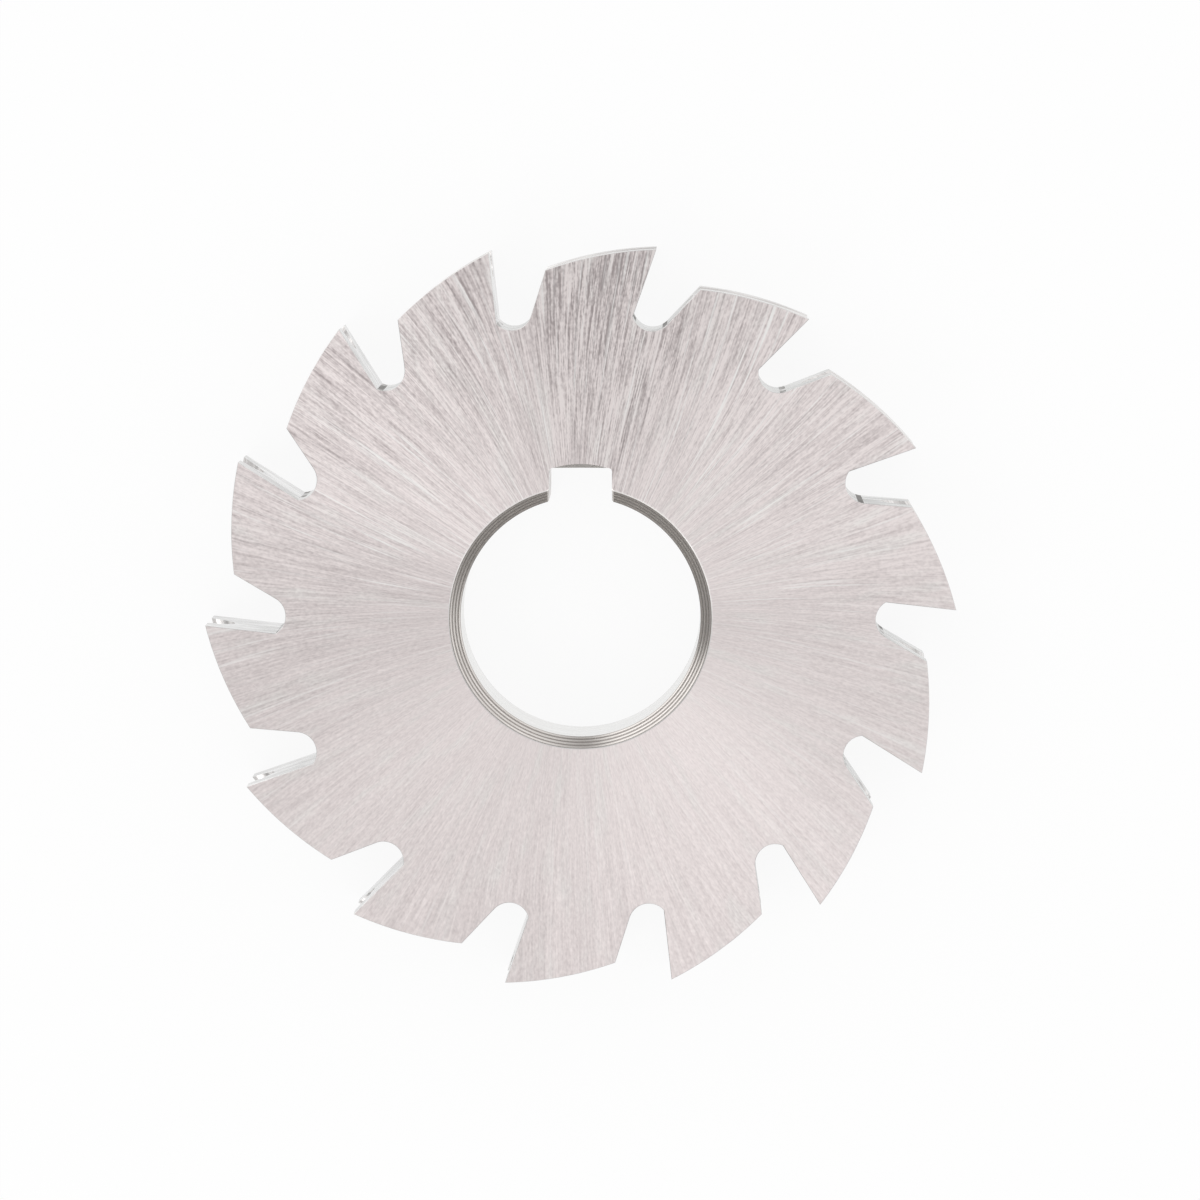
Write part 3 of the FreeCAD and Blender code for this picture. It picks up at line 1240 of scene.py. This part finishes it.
@dataclass
class Studio:
    """The pale floor, the soft light and the camera."""

    floor_reach: float = 3.0
    floor_points: int = 3
    floor_sink: float = 0.01 * MM
    floor_grey: float = 0.9
    floor_glow: float = 0.9
    surround: Surround = Surround()
    lamps: tuple[Lamp, ...] = (
        Lamp("left_softbox", (-0.384, -0.352, 0.608), 0.8),
        Lamp("right_softbox", (0.300, -0.404, 0.62), 0.4),
    )
    camera_place: Triple = (6.888 * MM, 36.101 * MM, 426.873 * MM)
    camera_tilt: tuple[float, float] = (math.radians(-4.7619), math.radians(0.7638))
    lens: float = 189.6
    sensor: float = 36.0
    clip: tuple[float, float] = (0.01, 20.0)

    def floor(self) -> bpy.types.Object:
        """A flat square just under height 0: (x, y, -sink) for x and y over its reach.

        Where it is seen, directly or in a reflection, it is mostly a white glow, and it is matte otherwise.

        Returns:
            The floor.
        """
        count = self.floor_points
        line = np.linspace(-self.floor_reach, self.floor_reach, count)
        x, y = np.meshgrid(line, line)
        points = np.stack([x, y, np.full_like(x, -self.floor_sink)], axis=-1).reshape(-1, 3)
        spot = np.arange(count**2).reshape(count, count)
        near, far = spot[:-1], spot[1:]
        quads = np.stack([near[:, :-1], near[:, 1:], far[:, 1:], far[:, :-1]], axis=-1).reshape(-1, 4)
        mesh = bpy.data.meshes.new("floor")
        mesh.from_pydata(points.tolist(), [], quads.tolist())
        made = bpy.data.materials.new("pale_floor")
        made.use_nodes = True
        made.node_tree.nodes.clear()
        nodes = Nodes(made.node_tree)
        path = nodes.add("ShaderNodeLightPath").outputs
        seen = nodes.math("MAXIMUM", path["Is Camera Ray"], path["Is Glossy Ray"])
        seen = nodes.math("MAXIMUM", seen, path["Is Transmission Ray"])
        grey = (self.floor_grey, self.floor_grey, self.floor_grey, 1.0)
        matte = nodes.add("ShaderNodeBsdfDiffuse", grey).outputs[0]
        glow = nodes.add("ShaderNodeEmission", WHITE, 1.0).outputs[0]
        share = nodes.math("MULTIPLY", seen, self.floor_glow)
        mixed = nodes.add("ShaderNodeMixShader", share, matte, glow).outputs[0]
        nodes.give(nodes.add("ShaderNodeOutputMaterial").inputs["Surface"], mixed)
        mesh.materials.append(made)
        piece = bpy.data.objects.new("floor", mesh)
        bpy.context.scene.collection.objects.link(piece)
        piece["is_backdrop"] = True
        return piece

    def world(self) -> None:
        """The light all round, and plain white where the camera sees it.

        Overhead it is bright less a smooth bell of y for the gap, times a step of y for the front. At
        the horizon it is dim, plus a smooth round patch for each low box: a step of the cosine to the
        patch's middle.
        """
        world = bpy.data.worlds.new("studio")
        bpy.context.scene.world = world
        world.use_nodes = True
        world.node_tree.nodes.clear()
        nodes = Nodes(world.node_tree)
        look = self.surround
        ray = nodes.add("ShaderNodeTexCoord").outputs["Generated"]
        _, y, z = nodes.separate(ray)
        gap = nodes.math("MULTIPLY", nodes.ramp(y, look.gap_near), nodes.ramp(y, look.gap_far))
        gap = nodes.math("MULTIPLY", gap, nodes.ramp(z, look.gap_height))
        high = nodes.math("MULTIPLY_ADD", gap, look.gap_dip, look.overhead)
        high = nodes.math("MULTIPLY", nodes.ramp(y, look.front), high)
        low = look.horizon
        for box in look.low_boxes:
            middle = (math.cos(box.turn), math.sin(box.turn), look.low_box_rise)
            patch = Step(math.cos(box.spread), math.cos(box.spread / 2), 0.0, box.strength)
            low = nodes.math("ADD", nodes.ramp(nodes.vector("DOT_PRODUCT", ray, middle), patch), low)
        share = nodes.ramp(z, look.above_horizon)
        level = nodes.math("MULTIPLY_ADD", share, nodes.math("SUBTRACT", high, low), low)
        shown = nodes.add("ShaderNodeLightPath").outputs["Is Camera Ray"]
        level = nodes.math("MULTIPLY_ADD", shown, nodes.math("SUBTRACT", 1.0, level), level)
        back = nodes.add("ShaderNodeBackground", WHITE, level).outputs[0]
        nodes.give(nodes.add("ShaderNodeOutputWorld").inputs["Surface"], back)

    def hang(self, lamp: Lamp) -> bpy.types.Object:
        """Hangs a lamp that points at the cutter.

        Args:
            lamp: Its place, power and size.

        Returns:
            The lamp.
        """
        light = bpy.data.lights.new(lamp.name, "AREA")
        light.size = lamp.size
        light.energy = lamp.power
        made = bpy.data.objects.new(lamp.name, light)
        made.location = lamp.place
        x, y, z = lamp.place
        made.rotation_euler = (math.atan2(math.hypot(x, y), z), 0.0, math.atan2(x, -y))
        bpy.context.scene.collection.objects.link(made)
        return made

    def camera(self) -> bpy.types.Object:
        """Sets the camera over the cutter, at the photograph's angle and framing.

        Returns:
            The camera.
        """
        data = bpy.data.cameras.new("camera")
        data.lens = self.lens
        data.sensor_width = self.sensor
        data.clip_start, data.clip_end = self.clip
        made = bpy.data.objects.new("camera", data)
        made.location = self.camera_place
        made.rotation_euler = (*self.camera_tilt, 0.0)
        bpy.context.scene.collection.objects.link(made)
        bpy.context.scene.camera = made
        return made

    def build(self) -> None:
        """Sets the floor, the light, the camera and the view."""
        self.floor()
        self.world()
        for lamp in self.lamps:
            self.hang(lamp)
        self.camera()
        bpy.context.scene.view_settings.view_transform = "Standard"
        LOG.info("studio: floor, world, %d lamps and camera", len(self.lamps))


def write_sizes() -> None:
    """Works out the CAD's box and the finished model's box as plain lists; nothing is written.
    """
    boxes = {"cad": CAD_BOX, "visual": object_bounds()}
    boxes = {name: [list(corner) for corner in box] for name, box in boxes.items()}


def main() -> None:
    """Builds the studio and the cutter."""
    logging.basicConfig(level=logging.INFO, format="%(name)s %(message)s")
    Studio().build()
    ConcaveCutter().build(SteelShop())
    write_sizes()


if __name__ == "__main__":
    main()
